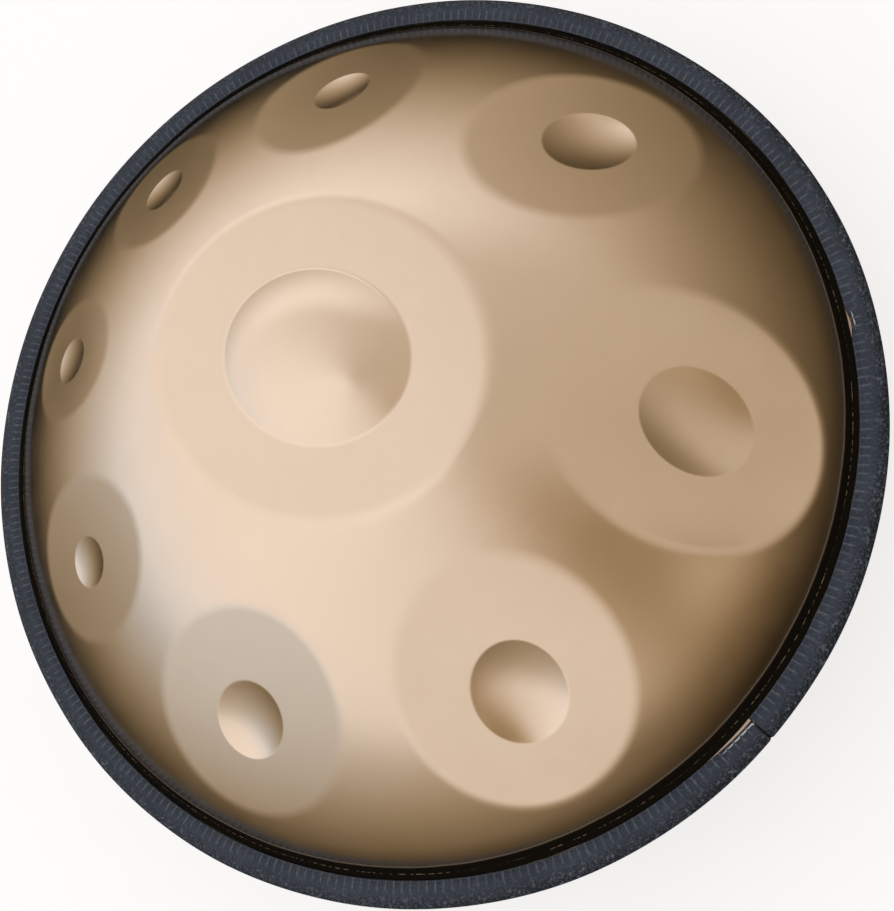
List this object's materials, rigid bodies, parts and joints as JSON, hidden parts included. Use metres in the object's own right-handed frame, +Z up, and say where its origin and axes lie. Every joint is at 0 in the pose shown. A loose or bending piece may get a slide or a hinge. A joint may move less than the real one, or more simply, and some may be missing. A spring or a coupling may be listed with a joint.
{
  "type": "handpan",
  "caption": "Hand-played steel percussion dome with a raised centre note, a ring of dimpled tone fields, a round port below and an edge trim.",
  "frame": {"origin": "on the instrument's axis, in the plane of the flat land round the port that it stands on", "axes": "+Z up along the axis, out of the raised centre note; -Y towards the player, through the lowest tone field"},
  "size_m": [0.5596, 0.5596, 0.2405],
  "materials": {
    "shell_steel": "satin champagne-gold heat-coloured stainless steel",
    "adhesive": "cured black structural adhesive",
    "trim_rubber": "fine leather grain, satin",
    "core_steel": "plain steel strip"
  },
  "bodies": {
    "root": {"top_shell": "shell_steel", "bottom_shell": "shell_steel", "flange_adhesive": "adhesive", "edge_trim": "trim_rubber", "trim_clip_core": "core_steel"}
  },
  "joints": []
}
